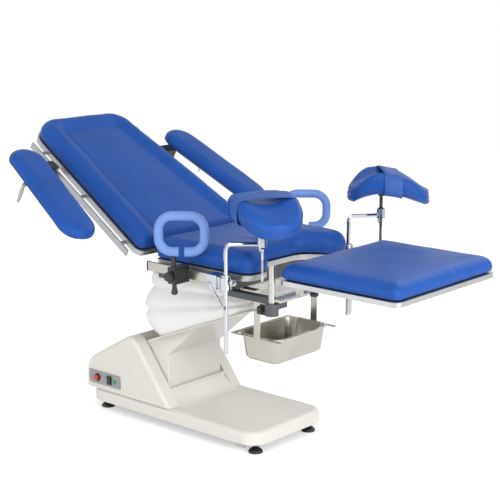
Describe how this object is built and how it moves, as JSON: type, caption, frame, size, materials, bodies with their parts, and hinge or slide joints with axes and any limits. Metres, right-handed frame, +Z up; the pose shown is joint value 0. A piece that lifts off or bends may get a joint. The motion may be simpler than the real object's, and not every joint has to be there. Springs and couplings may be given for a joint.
{
  "type": "medical exam table",
  "caption": "Powered gynaecology exam table with lifting column, tilting seat, reclining back, arm boards, hand grips, knee supports, swing-out leg section and drain basin.",
  "frame": {"origin": "floor under the middle of the bounding box", "axes": "+X towards the foot end, +Y to the far side, +Z up"},
  "size_m": [1.8758, 1.1686, 1.1548],
  "materials": {
    "white_abs": "satin",
    "dark_steel": "satin",
    "white_nylon": "matte",
    "white_bellows": "matte",
    "black_plastic": "satin",
    "red_plastic": "gloss",
    "grey_panel": "satin",
    "chrome": "polished",
    "stainless": "brushed",
    "silver_trim": "satin",
    "blue_vinyl": "satin",
    "blue_foam": "matte"
  },
  "bodies": {
    "base": {"base_cover": "white_abs", "base_chassis": "dark_steel", "rear_housing": "white_abs", "control_panel": "grey_panel", "foot_near_front": "black_plastic", "foot_far_front": "black_plastic", "foot_near_rear": "black_plastic", "foot_far_rear": "black_plastic", "lift_sleeve": "white_abs"},
    "column": {"column_cover": "white_abs", "lift_tube": "dark_steel", "bellows": "white_bellows"},
    "tilt_push": {"tilt_rod": "chrome"},
    "seat": {"seat_frame": "dark_steel", "seat_tray": "silver_trim", "seat_pad": "blue_vinyl", "seat_rail_near": "stainless", "seat_rail_far": "stainless", "basin_hanger": "stainless", "handle_clamp_near": "black_plastic", "handle_clamp_far": "black_plastic", "leg_clamp_near": "chrome", "leg_clamp_far": "chrome"},
    "pan": {"basin": "stainless"},
    "back": {"back_frame": "silver_trim", "back_pad": "blue_vinyl", "arm_clamp_near": "black_plastic", "arm_clamp_far": "black_plastic"},
    "back_push": {"back_rod": "chrome"},
    "leg_section": {"leg_arm": "stainless", "leg_tray": "silver_trim", "leg_pad": "blue_vinyl"},
    "leg_lock": {"leg_knob": "black_plastic"},
    "stop": {"stop_button": "red_plastic"},
    "switch": {"power_switch": "black_plastic"},
    "caster_near": {"caster_near": "white_nylon"},
    "arm_near": {"arm_plate_near": "dark_steel", "arm_pad_near": "blue_vinyl"},
    "arm_lock_near": {"arm_lever_near": "chrome"},
    "handle_near": {"handle_loop_near": "blue_foam"},
    "handle_lock_near": {"handle_knob_near": "black_plastic"},
    "leg_collar_near": {"leg_collar_near": "chrome"},
    "leg_post_near": {"leg_post_near": "chrome"},
    "leg_lock_near": {"leg_clamp_lever_near": "chrome"},
    "knee_lock_near": {"knee_lever_near": "chrome"},
    "knee_near": {"knee_shell_near": "black_plastic", "knee_pad_near": "blue_vinyl"},
    "caster_far": {"caster_far": "white_nylon"},
    "arm_far": {"arm_plate_far": "dark_steel", "arm_pad_far": "blue_vinyl"},
    "arm_lock_far": {"arm_lever_far": "chrome"},
    "handle_far": {"handle_loop_far": "blue_foam"},
    "handle_lock_far": {"handle_knob_far": "black_plastic"},
    "leg_collar_far": {"leg_collar_far": "chrome"},
    "leg_post_far": {"leg_post_far": "chrome"},
    "leg_lock_far": {"leg_clamp_lever_far": "chrome"},
    "knee_lock_far": {"knee_lever_far": "chrome"},
    "knee_far": {"knee_shell_far": "black_plastic", "knee_pad_far": "blue_vinyl"}
  },
  "joints": [
    {"name": "lift", "type": "slide", "parent": "base", "child": "column", "axis": [0, 0, 1], "range_m": [0, 0.17]},
    {"name": "seat_tilt", "type": "hinge", "parent": "column", "child": "seat", "pos_m": [0.10294, -0.02213, 0.575], "axis": [0, -1, 0], "range_deg": [0, 12], "deforming": ["bellows"]},
    {"name": "tilt_rod_slide", "type": "slide", "parent": "column", "child": "tilt_push", "axis": [0, 0, 1], "range_m": [-0.0445, 0.0005]},
    {"name": "back_recline", "type": "hinge", "parent": "seat", "child": "back", "pos_m": [-0.20206, -0.02213, 0.69], "axis": [0, 1, 0], "range_deg": [-30, 30]},
    {"name": "back_rod_slide", "type": "slide", "parent": "seat", "child": "back_push", "axis": [-1, 0, 0], "range_m": [-0.0485, 0.0485]},
    {"name": "basin_slide", "type": "slide", "parent": "seat", "child": "pan", "axis": [1, 0, 0], "range_m": [0, 0.18]},
    {"name": "leg_swing", "type": "hinge", "parent": "seat", "child": "leg_section", "pos_m": [0.42794, -0.33413, 0.588], "axis": [0, 0, 1], "range_deg": [-90, 0]},
    {"name": "leg_knob_turn", "type": "hinge", "parent": "seat", "child": "leg_lock", "pos_m": [0.40364, -0.33413, 0.604], "axis": [1, 0, 0], "range_deg": [-180, 180]},
    {"name": "stop_press", "type": "slide", "parent": "base", "child": "stop", "axis": [0, 1, 0], "range_m": [0, 0.004], "stiffness_N_per_m": 300},
    {"name": "switch_rock", "type": "hinge", "parent": "base", "child": "switch", "pos_m": [-0.50506, -0.2413, 0.139], "axis": [1, 0, 0], "range_deg": [-12, 0]},
    {"name": "caster_near_roll", "type": "hinge", "parent": "base", "child": "caster_near", "pos_m": [0.15094, -0.18013, 0.027], "axis": [0, 1, 0], "continuous": true},
    {"name": "arm_near_swing", "type": "hinge", "parent": "back", "child": "arm_near", "pos_m": [-0.72272, -0.38213, 0.98818], "axis": [0.497, 0, 0.8678], "range_deg": [-70, 9]},
    {"name": "arm_near_lock", "type": "hinge", "parent": "arm_near", "child": "arm_lock_near", "pos_m": [-0.64569, -0.51949, 0.95386], "axis": [0.1402, 0.9869, -0.0803], "range_deg": [0, 40]},
    {"name": "handle_near_swivel", "type": "hinge", "parent": "seat", "child": "handle_near", "pos_m": [0.02494, -0.40213, 0.7], "axis": [0, 0, 1], "range_deg": [-60, 0]},
    {"name": "handle_near_knob_turn", "type": "hinge", "parent": "seat", "child": "handle_lock_near", "pos_m": [0.02494, -0.41443, 0.682], "axis": [0, 1, 0], "range_deg": [-180, 180]},
    {"name": "leg_near_swivel", "type": "hinge", "parent": "seat", "child": "leg_collar_near", "pos_m": [0.25094, -0.37413, 0.69], "axis": [0, 0, 1], "range_deg": [-90, 0]},
    {"name": "leg_near_height", "type": "slide", "parent": "leg_collar_near", "child": "leg_post_near", "axis": [0, 0, 1], "range_m": [-0.02, 0.18]},
    {"name": "leg_near_lock", "type": "hinge", "parent": "seat", "child": "leg_lock_near", "pos_m": [0.18294, -0.38673, 0.676], "axis": [0, 1, 0], "range_deg": [0, 40]},
    {"name": "knee_near_lock", "type": "hinge", "parent": "leg_post_near", "child": "knee_lock_near", "pos_m": [0.3423, -0.28591, 0.8], "axis": [0.7193, 0.6947, 0], "range_deg": [-45, 0]},
    {"name": "knee_near_tilt", "type": "hinge", "parent": "leg_post_near", "child": "knee_near", "pos_m": [0.3423, -0.28591, 0.844], "axis": [0.5, 0.866, 0], "range_deg": [-20, 20]},
    {"name": "caster_far_roll", "type": "hinge", "parent": "base", "child": "caster_far", "pos_m": [0.15094, 0.13587, 0.027], "axis": [0, 1, 0], "continuous": true},
    {"name": "arm_far_swing", "type": "hinge", "parent": "back", "child": "arm_far", "pos_m": [-0.72272, 0.33787, 0.98818], "axis": [0.497, 0, 0.8678], "range_deg": [-9, 70]},
    {"name": "arm_far_lock", "type": "hinge", "parent": "arm_far", "child": "arm_lock_far", "pos_m": [-0.64569, 0.47524, 0.95386], "axis": [-0.1402, 0.9869, 0.0803], "range_deg": [0, 40]},
    {"name": "handle_far_swivel", "type": "hinge", "parent": "seat", "child": "handle_far", "pos_m": [-0.02206, 0.35787, 0.7], "axis": [0, 0, 1], "range_deg": [-60, 0]},
    {"name": "handle_far_knob_turn", "type": "hinge", "parent": "seat", "child": "handle_lock_far", "pos_m": [-0.02206, 0.37017, 0.682], "axis": [0, 1, 0], "range_deg": [-180, 180]},
    {"name": "leg_far_swivel", "type": "hinge", "parent": "seat", "child": "leg_collar_far", "pos_m": [0.25094, 0.32987, 0.69], "axis": [0, 0, 1], "range_deg": [-60, 45]},
    {"name": "leg_far_height", "type": "slide", "parent": "leg_collar_far", "child": "leg_post_far", "axis": [0, 0, 1], "range_m": [-0.02, 0.18]},
    {"name": "leg_far_lock", "type": "hinge", "parent": "seat", "child": "leg_lock_far", "pos_m": [0.18294, 0.34247, 0.676], "axis": [0, 1, 0], "range_deg": [0, 40]},
    {"name": "knee_far_lock", "type": "hinge", "parent": "leg_post_far", "child": "knee_lock_far", "pos_m": [0.33086, 0.42857, 0.8], "axis": [0.6293, 0.7771, 0], "range_deg": [-45, 0]},
    {"name": "knee_far_tilt", "type": "hinge", "parent": "leg_post_far", "child": "knee_far", "pos_m": [0.33086, 0.42857, 0.844], "axis": [-0.7071, 0.7071, 0], "range_deg": [-9, 20]}
  ],
  "couplings": [
    {"joint": "tilt_rod_slide", "follows": "seat_tilt", "m_per_rad": -0.2085},
    {"joint": "back_rod_slide", "follows": "back_recline", "m_per_rad": 0.0916}
  ]
}
